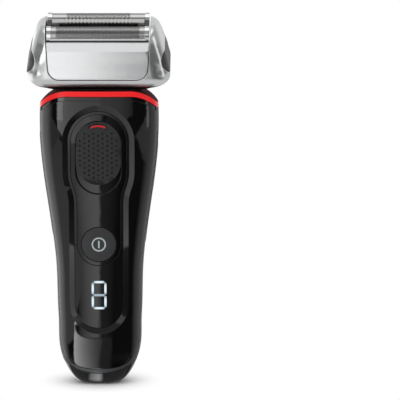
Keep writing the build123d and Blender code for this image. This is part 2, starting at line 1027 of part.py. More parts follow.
def make_drive_bridge(side):
    """Oscillating half of the motor: magnet bridge with its pins."""
    low = pole_top + air_gap
    front, rear = (-bridge_outer, -middle_pin_radius - bridge_gap), (-middle_pin_radius, bridge_outer)
    v = rear if side > 0 else front
    bridge = box(both(bridge_half_length), v, (low, low + bridge_thickness))
    bridge -= rods(rod_fit, beyond)
    for place, radius in drive_pins():
        if v[0] <= place - radius and place + radius <= v[1]:
            bridge += along_z(Pos(0, place) * Circle(radius), low + bridge_thickness, drive_pin_top)
    return bridge


def cassette_floor():
    """Underside of the cassette's floor, just above the drive deck."""
    return core_top + core_roof_gap


def foil_frame_low():
    """Lower edge of the floating frames, with room to sink."""
    return cassette_floor() + cassette_floor_thickness + foil_float + foil_float_gap


def cutter_low():
    return cassette_floor() + foil_float


def pin_slot_top():
    return drive_pin_top + foil_float + slot_gap


def cutter_bar_top():
    return pin_slot_top() + pin_slot_roof


def cassette_half_length():
    """Half the clear length inside the cassette's end walls."""
    return notch_half(cassette_floor() + cassette_floor_thickness) - cassette_fit - cassette_end_wall


def make_cassette_frame():
    """Open black box that holds the foils and drops over the drive core."""
    room = notch_prism(-cassette_fit) & level(-beyond, cassette_top)
    frame = room & head_form(plate_thickness + plate_seat)
    frame -= core_block(core_fit, -beyond, cassette_floor())
    floor_top = cassette_floor() + cassette_floor_thickness
    frame -= box(both(cassette_half_length()), both(cassette_well_half_depth), (floor_top, beyond))
    end_wall_top = foil_end_low - foil_float - foil_float_gap
    frame -= box(both(beyond), both(cassette_well_half_depth), (end_wall_top, beyond))
    for side in (-1, 1):
        half = foil_radius + foil_seat
        frame -= box(both(foil_half_length), both_about(side * foil_offset, half), (0, beyond))
    stem = middle_stem_half_length + drive_stroke + slot_gap
    return frame - box(both(stem), both(middle_stem_half_depth + slot_gap), (0, beyond))


def make_cassette_plate(side):
    """Silver cover in front of or behind the cassette, creased near its top."""
    half_space = box(both(beyond), sorted((0, side * beyond)), both(beyond))
    room = notch_prism(-cassette_fit) & half_space & level(-beyond, plate_top)
    plate = (room & head_form(0)) - head_form(plate_thickness)
    edge = head_sides(crease_height)[1]
    rise = plate_top - crease_height
    crease = polygon((side * edge, crease_height), (side * (edge - crease_slope * rise), plate_top),
                     (side * beyond, plate_top), (side * beyond, crease_height))
    return plate - along_x(crease, -beyond, beyond)


def arch(v, radius, low):
    """Upright face with a round top, level with a foil's arch."""
    middle = foil_top - foil_radius
    leg = Pos(v, (middle + low) / 2) * Rectangle(2 * radius, middle - low)
    top = Pos(v, middle) * (Circle(radius) & Pos(0, radius) * Rectangle(2 * radius, 2 * radius))
    return leg + top


def make_foil_frame(side):
    """Chrome frame round a foil: two rails and two arched ends."""
    v = side * foil_offset
    half = cassette_half_length() - foil_frame_slack
    rail_top = foil_top - foil_radius - foil_rail_drop
    inside = foil_half_length + foil_seat
    rails = box(both(half), both_about(v, foil_frame_half_depth), (foil_frame_low(), rail_top))
    rails -= box(both(inside), both_about(v, foil_radius + foil_seat), (0, beyond))
    end = arch(v, foil_radius + foil_end_rise, foil_end_low)
    for way in (-1, 1):
        rails += along_x(end, *sorted((way * inside, way * foil_end_half_length)))
    return rails


def make_foil(side):
    """Thin arched foil with staggered rows of slots."""
    v = side * foil_offset
    middle = foil_top - foil_radius
    low = middle - foil_leg
    sheet = arch(v, foil_radius, low) - arch(v, foil_radius - foil_thickness, low)
    foil = along_x(sheet, -foil_half_length, foil_half_length)
    length = 2 * foil_half_length - 2 * foil_slot_margin
    count = int(length / foil_slot_pitch)
    tangent = 2 * foil_radius * math.tan(math.radians((180 / foil_slot_rows - foil_slot_web) / 2))
    slots = []
    for row in range(foil_slot_rows):
        angle = (row + 0.5) * 180 / foil_slot_rows - 90
        shift = 0.25 if row % 2 else -0.25
        for step in range(count):
            x = (step - (count - 1) / 2 + shift) * foil_slot_pitch
            cut = Pos(x, 0, foil_radius) * Box(foil_slot_width, tangent, 4 * foil_thickness)
            slots.append(Pos(0, v, middle) * Rot(angle, 0, 0) * cut)
    return foil - slots


def make_cutter(side):
    """Row of arched blades on a bar, driven from below."""
    v = side * foil_offset
    outer = foil_radius - foil_thickness - blade_fit
    bar = box(both(cutter_half_length), both_about(v, outer), (cutter_low(), cutter_bar_top()))
    hoop = arch(v, outer, cutter_bar_top()) - arch(v, outer - blade_depth, cutter_bar_top())
    blades = []
    for step in range(blade_count):
        x = (step - (blade_count - 1) / 2) * blade_pitch
        blades.append(along_x(hoop, *both_about(x, blade_thickness / 2)))
    return (bar + blades) - pin_slot(v, drive_pin_radius)


def pin_slot(v, radius):
    """Slot in the underside of a cutter for its drive pin."""
    return box(both(radius + pin_slot_fit), both_about(v, radius + slot_gap), (0, pin_slot_top()))


def make_middle_guard():
    """Flat steel comb with V teeth along both edges, on a foot at each end."""
    zone = guard_teeth * guard_pitch / 2
    edge = [(-guard_half_length, guard_half_depth), (-zone, guard_half_depth), (-zone, guard_root)]
    for step in range(guard_teeth):
        x = step * guard_pitch - zone
        edge += [(x + guard_pitch / 2, guard_tip), (x + guard_pitch, guard_root)]
    edge += [(zone, guard_half_depth), (guard_half_length, guard_half_depth)]
    comb = polygon(*edge, *[(x, -v) for x, v in reversed(edge)])
    low = guard_top - guard_thickness
    guard = along_z(comb, low, guard_top)
    for way in (-1, 1):
        x = sorted((way * guard_foot, way * guard_half_length))
        guard += box(x, both(guard_half_depth), (carrier_top, low))
    return guard


def make_middle_carrier():
    """Black holder under the middle guard."""
    half = cassette_half_length() - foil_frame_slack
    carrier = box(both(half), both(carrier_half_depth), (foil_frame_low(), carrier_top))
    carrier -= box(both(guard_foot), both(carrier_half_depth - carrier_wall), (0, beyond))
    for way in (-1, 1):
        x = sorted((way * guard_half_length, way * foil_end_half_length))
        carrier += box(x, both(carrier_half_depth), (foil_end_low, carrier_end_top))
    return carrier


def make_middle_cutter():
    """Toothed blade under the middle guard, on a stem to its drive pin."""
    top = guard_top - guard_thickness - middle_blade_gap
    low = top - middle_thickness
    blade = box(both(middle_half_length), both(middle_tip), (low, top))
    count = int(2 * middle_half_length / middle_pitch) - 1
    gaps = []
    for step in range(count):
        x = both_about((step - (count - 1) / 2) * middle_pitch, middle_pitch / 4)
        gaps += [box(x, sorted((way * middle_root, way * beyond)), (0, beyond)) for way in (-1, 1)]
    stem = box(both(middle_stem_half_length), both(middle_stem_half_depth), (cutter_low(), low))
    return (blade - gaps) + stem - pin_slot(0, middle_pin_radius)


def save(name, shape):
    """Write one node: a solid, or a group of separate solids."""
    pieces = shape if isinstance(shape, list) else [shape]
    solids = [solid for piece in pieces for solid in piece.solids()]
    export_step(solids[0] if len(solids) == 1 else Compound(children=solids), f"parts/{name}.step")


def head_place():
    return Pos(0, 0, pivot_z) * Rot(head_tilt, 0, 0)


def save_in_head(name, shape):
    pieces = shape if isinstance(shape, list) else [shape]
    save(name, [head_place() * piece for piece in pieces])


def make_handle():
    shell = handle_shell()
    save("front_shell", make_front_shell(shell))
    save("rear_shell", make_rear_shell(shell))
    save("seam_gasket", make_seam_gasket())
    save("neck_collar", make_collar())
    save("end_cap", make_end_cap())
    save("panel_bezel", make_bezel())
    save("control_panel", make_control_panel())
    save("display_lens", make_display_lens())
    save("display_segments", make_display_segments())
    save("led_block", make_led_block())
    save("main_board", make_main_board())
    save("power_switch", make_power_switch())
    save("inner_frame", make_inner_frame())
    save("battery_cell", make_battery_cell())
    save("inlet_socket", make_inlet_socket())
    save("inlet_pins", make_inlet_pins())
    save("frame_screws", make_frame_screws())
    save("neck_yoke", make_neck_yoke())
    save("pivot_pins", make_pivot_pins())


def make_controls():
    save("lock_slider", make_lock_slider())
    save("slider_mark", make_slider_mark())
    save("lock_bolt", make_lock_bolt())
    save("power_button", make_power_button())
    save("power_symbol", make_power_symbol())
    save("trimmer_carriage", make_trimmer_carriage())
    save("trimmer_comb", make_trimmer_comb())
    save("trimmer_cutter", make_trimmer_cutter())


def make_head():
    save_in_head("head_frame", make_head_frame())
    save_in_head("head_base", make_head_base())
    save_in_head("drive_deck", make_drive_deck())
    save_in_head("drive_rods", make_drive_rods())
    save_in_head("motor_core", make_motor_core())
    save_in_head("motor_coil", make_motor_coil())
    save_in_head("front_drive_bridge", make_drive_bridge(-1))
    save_in_head("rear_drive_bridge", make_drive_bridge(1))
    save_in_head("release_button_left", make_release_button(-1))
    save_in_head("release_button_right", make_release_button(1))


def make_cassette():
    save_in_head("cassette_frame", make_cassette_frame())
    for name, side in (("front", -1), ("rear", 1)):
        save_in_head(f"{name}_plate", make_cassette_plate(side))
        save_in_head(f"{name}_foil_frame", make_foil_frame(side))
        save_in_head(f"{name}_foil", make_foil(side))
        save_in_head(f"{name}_cutter", make_cutter(side))
    save_in_head("middle_guard", make_middle_guard())
    save_in_head("middle_carrier", make_middle_carrier())
    save_in_head("middle_cutter", make_middle_cutter())


os.makedirs("parts", exist_ok=True)
make_handle()
make_controls()
make_head()
make_cassette()
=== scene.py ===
import bpy
import json
import math
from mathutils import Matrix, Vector


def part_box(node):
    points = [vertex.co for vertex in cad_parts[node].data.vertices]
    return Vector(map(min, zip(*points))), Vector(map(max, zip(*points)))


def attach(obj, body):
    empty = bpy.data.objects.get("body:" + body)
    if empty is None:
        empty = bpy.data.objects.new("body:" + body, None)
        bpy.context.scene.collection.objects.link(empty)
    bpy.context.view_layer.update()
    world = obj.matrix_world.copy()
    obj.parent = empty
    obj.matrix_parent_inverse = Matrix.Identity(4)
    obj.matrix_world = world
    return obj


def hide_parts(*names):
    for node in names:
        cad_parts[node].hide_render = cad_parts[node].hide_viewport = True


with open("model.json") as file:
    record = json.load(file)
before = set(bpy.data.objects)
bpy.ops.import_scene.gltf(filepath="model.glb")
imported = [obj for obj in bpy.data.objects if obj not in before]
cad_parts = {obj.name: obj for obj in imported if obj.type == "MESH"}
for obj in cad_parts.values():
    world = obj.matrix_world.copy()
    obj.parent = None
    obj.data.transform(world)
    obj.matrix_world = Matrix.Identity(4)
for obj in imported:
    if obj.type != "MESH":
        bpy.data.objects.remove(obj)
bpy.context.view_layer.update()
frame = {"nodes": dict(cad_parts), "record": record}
cadNodes = frame["nodes"]
mm = 0.001
print("frame loaded", len(cadNodes), "nodes")

# the head leans forward about its pivot
headPlace = {"pivotHeight": 136.2, "lean": 20.0}


def headPoint(u, v, w):
    lean = math.radians(headPlace["lean"])
    y = v * math.cos(lean) - w * math.sin(lean)
    z = headPlace["pivotHeight"] + v * math.sin(lean) + w * math.cos(lean)
    return Vector((u * mm, y * mm, z * mm))


def deselectAll():
    if bpy.context.object and bpy.context.object.mode != "OBJECT":
        bpy.ops.object.mode_set(mode="OBJECT")
    bpy.ops.object.select_all(action="DESELECT")


def activate(obj):
    deselectAll()
    obj.select_set(True)
    bpy.context.view_layer.objects.active = obj


def applyModifier(obj, kind, **settings):
    activate(obj)
    mod = obj.modifiers.new(kind.title(), kind)
    for key, value in settings.items():
        setattr(mod, key, value)
    bpy.ops.object.modifier_apply(modifier=mod.name)


def mergeClose(obj, distance):
    activate(obj)
    bpy.ops.object.mode_set(mode="EDIT")
    bpy.ops.mesh.select_all(action="SELECT")
    bpy.ops.mesh.remove_doubles(threshold=distance)
    bpy.ops.object.mode_set(mode="OBJECT")


def copyNode(node, name, weld=1e-6):
    source = cadNodes[node]
    obj = bpy.data.objects.new(name, source.data.copy())
    bpy.context.scene.collection.objects.link(obj)
    mergeClose(obj, weld)
    return obj


def dress(obj, material):
    obj.data.materials.clear()
    obj.data.materials.append(material)


# shared effects

def newGroup(name, inputs, outputs):
    group = bpy.data.node_groups.new(name, "ShaderNodeTree")
    for label, kind, value in inputs:
        socket = group.interface.new_socket(label, in_out="INPUT", socket_type=kind)
        if value is not None:
            socket.default_value = value
    for label, kind in outputs:
        group.interface.new_socket(label, in_out="OUTPUT", socket_type=kind)
    entry = group.nodes.new("NodeGroupInput")
    leave = group.nodes.new("NodeGroupOutput")
    return group, entry, leave


def math2(tree, operation, first, second):
    node = tree.nodes.new("ShaderNodeMath")
    node.operation = operation
    values = (first, *second) if isinstance(second, tuple) else (first, second)
    for index, value in enumerate(values):
        if isinstance(value, (int, float)):
            node.inputs[index].default_value = value
        else:
            tree.links.new(value, node.inputs[index])
    return node.outputs[0]


def mapRange(tree, value, low, high):
    node = tree.nodes.new("ShaderNodeMapRange")
    tree.links.new(value, node.inputs["Value"])
    for label, limit in (("To Min", low), ("To Max", high)):
        if isinstance(limit, (int, float)):
            node.inputs[label].default_value = limit
        else:
            tree.links.new(limit, node.inputs[label])
    return node.outputs["Result"]


def mixColour(tree, mask, first, second):
    node = tree.nodes.new("ShaderNodeMix")
    node.data_type = "RGBA"
    for socket, value in ((node.inputs[0], mask), (node.inputs[6], first), (node.inputs[7], second)):
        if isinstance(value, (int, float, tuple)):
            socket.default_value = value
        else:
            tree.links.new(value, socket)
    return node.outputs[2]


def makeGrainGroup():
    # fine moulded grain: a mask for colour and a height for bump
    group, entry, leave = newGroup(
        "moulded grain",
        [("Scale", "NodeSocketFloat", 3000.0), ("Detail", "NodeSocketFloat", 2.0)],
        [("Mask", "NodeSocketFloat"), ("Height", "NodeSocketFloat")])
    place = group.nodes.new("ShaderNodeTexCoord")
    noise = group.nodes.new("ShaderNodeTexNoise")
    group.links.new(place.outputs["Object"], noise.inputs["Vector"])
    group.links.new(entry.outputs["Scale"], noise.inputs["Scale"])
    group.links.new(entry.outputs["Detail"], noise.inputs["Detail"])
    group.links.new(noise.outputs["Fac"], leave.inputs["Mask"])
    group.links.new(noise.outputs["Fac"], leave.inputs["Height"])
    return group


def makeSmudgeGroup():
    # broad, faint handling marks that vary the gloss
    group, entry, leave = newGroup(
        "handling smudge",
        [("Scale", "NodeSocketFloat", 60.0), ("Low", "NodeSocketFloat", 0.05),
         ("High", "NodeSocketFloat", 0.12)],
        [("Roughness", "NodeSocketFloat"), ("Mask", "NodeSocketFloat")])
    place = group.nodes.new("ShaderNodeTexCoord")
    noise = group.nodes.new("ShaderNodeTexNoise")
    noise.inputs["Detail"].default_value = 3.0
    group.links.new(place.outputs["Object"], noise.inputs["Vector"])
    group.links.new(entry.outputs["Scale"], noise.inputs["Scale"])
    rough = mapRange(group, noise.outputs["Fac"], entry.outputs["Low"], entry.outputs["High"])
    group.links.new(rough, leave.inputs["Roughness"])
    group.links.new(noise.outputs["Fac"], leave.inputs["Mask"])
    return group


def makeBrushGroup():
    # straight grinding lines along X
    group, entry, leave = newGroup(
        "ground lines",
        [("Scale", "NodeSocketFloat", 4000.0), ("Stretch", "NodeSocketFloat", 0.02)],
        [("Mask", "NodeSocketFloat"), ("Height", "NodeSocketFloat")])
    place = group.nodes.new("ShaderNodeTexCoord")
    join = group.nodes.new("ShaderNodeCombineXYZ")
    split = group.nodes.new("ShaderNodeSeparateXYZ")
    noise = group.nodes.new("ShaderNodeTexNoise")
    noise.inputs["Detail"].default_value = 2.0
    group.links.new(place.outputs["Object"], split.inputs[0])
    group.links.new(math2(group, "MULTIPLY", split.outputs[0], entry.outputs["Stretch"]), join.inputs[0])
    group.links.new(split.outputs[1], join.inputs[1])
    group.links.new(split.outputs[2], join.inputs[2])
    group.links.new(join.outputs[0], noise.inputs["Vector"])
    group.links.new(entry.outputs["Scale"], noise.inputs["Scale"])
    group.links.new(noise.outputs["Fac"], leave.inputs["Mask"])
    group.links.new(noise.outputs["Fac"], leave.inputs["Height"])
    return group


grainGroup = makeGrainGroup()
smudgeGroup = makeSmudgeGroup()
brushGroup = makeBrushGroup()


# finishes

# how far colour and roughness vary over a surface
variation = {"gloss": 1.3, "matte": 1.5, "matteLift": 0.004, "ground": 0.86, "flake": 0.95,
             "smoother": 0.06, "rougher": 0.08}


def placeGroup(tree, group, **values):
    node = tree.nodes.new("ShaderNodeGroup")
    node.node_tree = group
    for label, value in values.items():
        node.inputs[label].default_value = value
    return node


def startMaterial(name, colour, roughness, metallic=0.0, **constants):
    material = bpy.data.materials.new(name)
    material.use_nodes = True
    tree = material.node_tree
    shader = tree.nodes["Principled BSDF"]
    shader.inputs["Base Color"].default_value = (*colour, 1.0)
    shader.inputs["Roughness"].default_value = roughness
    shader.inputs["Metallic"].default_value = metallic
    for label, value in constants.items():
        shader.inputs[label.replace("_", " ")].default_value = value
    return material, tree, shader


def addBump(tree, shader, height, strength, distance, edge=0.0):
    bump = tree.nodes.new("ShaderNodeBump")
    bump.inputs["Strength"].default_value = strength
    bump.inputs["Distance"].default_value = distance
    tree.links.new(height, bump.inputs["Height"])
    if edge:
        bevel = tree.nodes.new("ShaderNodeBevel")
        bevel.samples = 4
        bevel.inputs["Radius"].default_value = edge
        tree.links.new(bevel.outputs[0], bump.inputs["Normal"])
    tree.links.new(bump.outputs[0], shader.inputs["Normal"])


def glossPlastic(name, colour, rough, edge=0.00025):
    material, tree, shader = startMaterial(name, colour, rough[0])
    smudge = placeGroup(tree, smudgeGroup, Scale=70.0, Low=rough[0], High=rough[1])
    tree.links.new(smudge.outputs["Roughness"], shader.inputs["Roughness"])
    paler = tuple(min(1.0, c * variation["gloss"]) for c in colour)
    tint = mixColour(tree, smudge.outputs["Mask"], (*colour, 1.0), (*paler, 1.0))
    tree.links.new(tint, shader.inputs["Base Color"])
    grain = placeGroup(tree, grainGroup, Scale=900.0, Detail=1.0)
    addBump(tree, shader, grain.outputs["Height"], strength=0.02, distance=0.00005, edge=edge)
    return material


def mattePlastic(name, colour, roughness, scale=5000.0, bump=0.25, edge=0.0003, **constants):
    material, tree, shader = startMaterial(name, colour, roughness, **constants)
    grain = placeGroup(tree, grainGroup, Scale=scale, Detail=2.0)
    paler = tuple(min(1.0, c * variation["matte"] + variation["matteLift"]) for c in colour)
    tint = mixColour(tree, grain.outputs["Mask"], (*colour, 1.0), (*paler, 1.0))
    tree.links.new(tint, shader.inputs["Base Color"])
    smoothest, roughest = roughness - variation["smoother"], roughness + variation["rougher"]
    rough = mapRange(tree, grain.outputs["Mask"], smoothest, roughest)
    tree.links.new(rough, shader.inputs["Roughness"])
    addBump(tree, shader, grain.outputs["Height"], strength=bump, distance=0.00005, edge=edge)
    return material


def metal(name, colour, rough, bump=0.1, edge=0.00015):
    material, tree, shader = startMaterial(name, colour, rough[0], metallic=1.0)
    lines = placeGroup(tree, brushGroup, Scale=4000.0, Stretch=0.02)
    tree.links.new(mapRange(tree, lines.outputs["Mask"], *rough), shader.inputs["Roughness"])
    darker = tuple(c * variation["ground"] for c in colour)
    tint = mixColour(tree, lines.outputs["Mask"], (*darker, 1.0), (*colour, 1.0))
    tree.links.new(tint, shader.inputs["Base Color"])
    addBump(tree, shader, lines.outputs["Height"], strength=bump, distance=0.00003, edge=edge)
    return material


def silverPaint(name, colour, rough, metallic, edge):
    # metallic paint: fine flake in a satin clear layer
    material, tree, shader = startMaterial(name, colour, rough[0], metallic)
    flake = placeGroup(tree, grainGroup, Scale=9000.0, Detail=1.0)
    smudge = placeGroup(tree, smudgeGroup, Scale=40.0, Low=rough[0], High=rough[1])
    tree.links.new(smudge.outputs["Roughness"], shader.inputs["Roughness"])
    darker = tuple(c * variation["flake"] for c in colour)
    tint = mixColour(tree, flake.outputs["Mask"], (*darker, 1.0), (*colour, 1.0))
    tree.links.new(tint, shader.inputs["Base Color"])
    addBump(tree, shader, flake.outputs["Height"], strength=0.02, distance=0.00002, edge=edge)
    return material


def rampUp(tree, value, at, width):
    node = tree.nodes.new("ShaderNodeMapRange")
    node.interpolation_type = "SMOOTHSTEP"
    node.inputs["From Min"].default_value = at - width / 2
    node.inputs["From Max"].default_value = at + width / 2
    tree.links.new(value, node.inputs["Value"])
    return node.outputs["Result"]


def rampBetween(tree, value, low, high):
    return rampUp(tree, value, (low + high) / 2, high - low)


# how far up a face of the collar looks before it counts as its top, which takes painted shade
collarTop = {"turn": 0.5, "blend": 0.3}


def collarPlastic(name, colour, shaded, rough):
    # red band; the top under the head takes a painted shade for the head's shadow, and is dull
    material, tree, shader = startMaterial(name, colour, rough[0], Specular_IOR_Level=0.25)
    smudge = placeGroup(tree, smudgeGroup, Scale=70.0, Low=rough[0], High=rough[1])
    facing = tree.nodes.new("ShaderNodeNewGeometry")
    split = tree.nodes.new("ShaderNodeSeparateXYZ")
    tree.links.new(facing.outputs["True Normal"], split.inputs[0])
    paintedShadeMask = rampUp(tree, split.outputs[2], collarTop["turn"], collarTop["blend"])
    # painted shade: faces turned upward take the darker red
    tint = mixColour(tree, paintedShadeMask, (*colour, 1.0), (*shaded, 1.0))
    tree.links.new(tint, shader.inputs["Base Color"])
    dull = math2(tree, "MAXIMUM", smudge.outputs["Roughness"], paintedShadeMask)
    tree.links.new(dull, shader.inputs["Roughness"])
    grain = placeGroup(tree, grainGroup, Scale=900.0, Detail=1.0)
    addBump(tree, shader, grain.outputs["Height"], strength=0.02, distance=0.00005, edge=0.0002)
    return material


# each outer bar of the digit is lit from behind its middle
digit = {"bar": 0.9, "core": 0.7, "spread": 2.6, "ends": (0.33, 0.42, 0.48),
         "middle": (0.80, 0.94, 1.0), "strength": 0.85, "unlit": (0.08, 0.10, 0.12), "rough": 0.3}


def barMiddles():
    low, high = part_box("display_segments")
    side = (high.x - low.x - digit["bar"] * mm) / 2
    rise = (high.z - low.z - digit["bar"] * mm) / 2
    centre = (low + high) / 2
    spots = [(0, 1), (0, -1), (-1, 0.5), (-1, -0.5), (1, 0.5), (1, -0.5)]
    return [(centre.x + x * side, 0.0, centre.z + z * rise) for x, z in spots]


def litDigit(name):
    material, tree, shader = startMaterial(name, digit["unlit"], digit["rough"])
    place = tree.nodes.new("ShaderNodeTexCoord")
    flat = tree.nodes.new("ShaderNodeVectorMath")
    flat.operation = "MULTIPLY"
    flat.inputs[1].default_value = (1.0, 0.0, 1.0)
    tree.links.new(place.outputs["Object"], flat.inputs[0])
    nearest = 1.0
    for spot in barMiddles():
        away = tree.nodes.new("ShaderNodeVectorMath")
        away.operation = "DISTANCE"
        away.inputs[1].default_value = spot
        tree.links.new(flat.outputs[0], away.inputs[0])
        nearest = math2(tree, "MINIMUM", away.outputs["Value"], nearest)
    fade = rampBetween(tree, nearest, digit["core"] * mm, digit["spread"] * mm)
    tint = mixColour(tree, fade, (*digit["middle"], 1.0), (*digit["ends"], 1.0))
    tree.links.new(tint, shader.inputs["Emission Color"])
    shader.inputs["Emission Strength"].default_value = digit["strength"]
    return material


finishes = {
    "gloss_black": glossPlastic("pianoBlack", (0.0018, 0.0018, 0.0020), (0.025, 0.045)),
    "soft_black": mattePlastic("softTouchGrey", (0.026, 0.028, 0.031), 0.5),
    "trim_black": glossPlastic("trimBlack", (0.0040, 0.0040, 0.0045), (0.12, 0.2)),
    "lens_black": glossPlastic("smokedLens", (0.0025, 0.0026, 0.0030), (0.012, 0.025)),
    "grey_rubber": mattePlastic("greyRubber", (0.006, 0.0063, 0.0067), 0.56, scale=4000.0, bump=0.3),
    "button_grey": mattePlastic("buttonGrey", (0.013, 0.0135, 0.0145), 0.46, scale=6000.0, bump=0.15),
    "symbol_grey": mattePlastic("symbolGrey", (0.31, 0.345, 0.355), 0.5, scale=6000.0, bump=0.1),
    "digit_white": litDigit("litDigit"),
    "silver": silverPaint("satinSilver", (0.76, 0.77, 0.775), (0.19, 0.24), metallic=0.9, edge=0.0004),
    "dark_grey": mattePlastic("darkGrey", (0.014, 0.0145, 0.016), 0.42),
    "inner_black": mattePlastic("mouldedBlack", (0.006, 0.006, 0.0065), 0.45),
    "chrome": metal("polishedChrome", (0.72, 0.73, 0.74), (0.08, 0.14), bump=0.02),
    "foil_steel": metal("foilSteel", (0.44, 0.44, 0.435), (0.16, 0.25), edge=0.0),
    "blade_steel": metal("groundSteel", (0.62, 0.62, 0.61), (0.29, 0.36)),
    "plain_steel": metal("plainSteel", (0.5, 0.5, 0.5), (0.3, 0.42)),
    "core_steel": metal("laminatedCore", (0.25, 0.25, 0.26), (0.4, 0.55)),
    "copper_wire": metal("windingCopper", (0.72, 0.35, 0.18), (0.3, 0.4)),
    "board_green": mattePlastic("boardGreen", (0.01, 0.09, 0.035), 0.35),
    "cell_wrap": mattePlastic("cellWrap", (0.05, 0.06, 0.09), 0.35),
    "contact_gold": metal("contactGold", (0.82, 0.62, 0.30), (0.15, 0.25)),
}
# pieces whose look differs from the rest of their slot
nodeFinishes = {
    # the collar's darker top is painted shade from the head above it
    "neck_collar": collarPlastic("collarRed", (0.86, 0.012, 0.014), shaded=(0.09, 0.003, 0.004),
                                 rough=(0.29, 0.36)),
    # the cutters under the foils and comb are steel darkened to paint the shade beneath them
    "front_cutter": metal("steelPaintedShade", (0.10, 0.10, 0.10), (0.3, 0.42)),
    "slider_mark": mattePlastic("markRed", (0.42, 0.010, 0.012), 0.5, scale=6000.0, bump=0.1,
                                Specular_IOR_Level=0.25),
    "head_frame": silverPaint("frameSilver", (0.66, 0.67, 0.675), (0.19, 0.24), metallic=0.9, edge=0.0004),
}
# the other cutters share this painted shade
nodeFinishes["rear_cutter"] = nodeFinishes["front_cutter"]
nodeFinishes["middle_cutter"] = nodeFinishes["front_cutter"]
for row in frame["record"]["subparts"]:
    node = row["node"]
    dress(cadNodes[node], nodeFinishes.get(node) or finishes[row["material_slot"]])
print("finishes placed", len(finishes))


# perforated foils

foilSheet = {"offset": 6.9, "top": 20.8, "radius": 3.3, "halfLength": 19.6, "leg": 2.2, "thickness": 0.2,
             "pitch": 0.92, "web": 0.24, "frontHoles": 18.0, "rearHoles": 14.2, "holesDown": 0.6,
             "endSteps": 48, "skirtSteps": 16, "weld": 0.01, "smooth": 35}


def bendOverArch(obj, side):
    f = foilSheet
    middle = f["top"] - f["radius"]
    quarter = f["radius"] * math.pi / 2
    for vertex in obj.data.vertices:
        s = vertex.co.y
        turn = max(-quarter, min(quarter, s)) / f["radius"]
        drop = max(0.0, abs(s) - quarter)
        v = side * f["offset"] + f["radius"] * math.sin(turn)
        w = middle + f["radius"] * math.cos(turn) - drop
        vertex.co = headPoint(vertex.co.x, v, w)


def addStrip(low, high, near, far, steps):
    # plain sheet beside the holes, fine enough along the arch to bend
    deselectAll()
    bpy.ops.mesh.primitive_grid_add(x_subdivisions=2, y_subdivisions=steps, size=1.0)
    strip = bpy.context.object
    strip.scale = (high - low, far - near, 1.0)
    strip.location = ((low + high) / 2, (near + far) / 2, 0.0)
    bpy.ops.object.transform_apply(location=True, rotation=True, scale=True)
    return strip


def makeFoil(name, side, meshHalf):
    f = foilSheet
    cell = f["pitch"] / math.sqrt(3)
    quarter = f["radius"] * math.pi / 2
    deselectAll()
    bpy.ops.mesh.primitive_circle_add(vertices=6, radius=cell, fill_type="NGON")
    foil = bpy.context.object
    foil.name = name
    bpy.ops.object.mode_set(mode="EDIT")
    bpy.ops.mesh.select_all(action="SELECT")
    bpy.ops.mesh.inset(thickness=f["web"] / 2)
    bpy.ops.mesh.delete(type="FACE")
    bpy.ops.object.mode_set(mode="OBJECT")
    across = int(2 * meshHalf / f["pitch"])
    pairs = int(2 * (quarter + f["holesDown"]) / (3 * cell))
    plain = {"use_relative_offset": False, "use_constant_offset": True}
    # a row, a second row set half a hole over, then pairs of rows round the arch
    for number, step in ((across, (f["pitch"], 0, 0)), (2, (f["pitch"] / 2, 1.5 * cell, 0)),
                         (pairs, (0, 3 * cell, 0))):
        applyModifier(foil, "ARRAY", count=number, constant_offset_displace=step, **plain)
    mergeClose(foil, f["weld"])
    length = (across - 0.5) * f["pitch"]
    depth = (2 * pairs - 1) * 1.5 * cell
    for vertex in foil.data.vertices:
        vertex.co.x -= length / 2
        vertex.co.y -= depth / 2
    reach = quarter + f["leg"]
    holes = length / 2 - f["pitch"] / 4
    edge = depth / 2 + cell / 4
    strips = [addStrip(-f["halfLength"], -holes, -reach, reach, f["endSteps"]),
              addStrip(holes, f["halfLength"], -reach, reach, f["endSteps"]),
              addStrip(-holes, holes, -reach, -edge, f["skirtSteps"]),
              addStrip(-holes, holes, edge, reach, f["skirtSteps"])]
    activate(foil)
    for strip in strips:
        strip.select_set(True)
    bpy.ops.object.join()
    bendOverArch(foil, side)
    applyModifier(foil, "SOLIDIFY", thickness=f["thickness"] * mm, offset=-1.0)
    activate(foil)
    bpy.ops.object.shade_smooth_by_angle(angle=math.radians(f["smooth"]))
    dress(foil, finishes["foil_steel"])
    return foil


for label, side in (("front", -1), ("rear", 1)):
    foil = makeFoil(label + "FoilMesh", side, foilSheet[label + "Holes"])
    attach(foil, label + "_foil")
    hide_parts(label + "_foil")
    print(label, "foil", len(foil.data.polygons), "faces")


# thumb pad of the lock slide, with its field of dimples

thumbPad = {"across": 1.93, "down": 2.08, "dimple": 0.42, "sink": 0.10, "margin": 1.5, "highest": 109.4,
            "ahead": 10.0, "skin": 0.01, "smooth": 35}


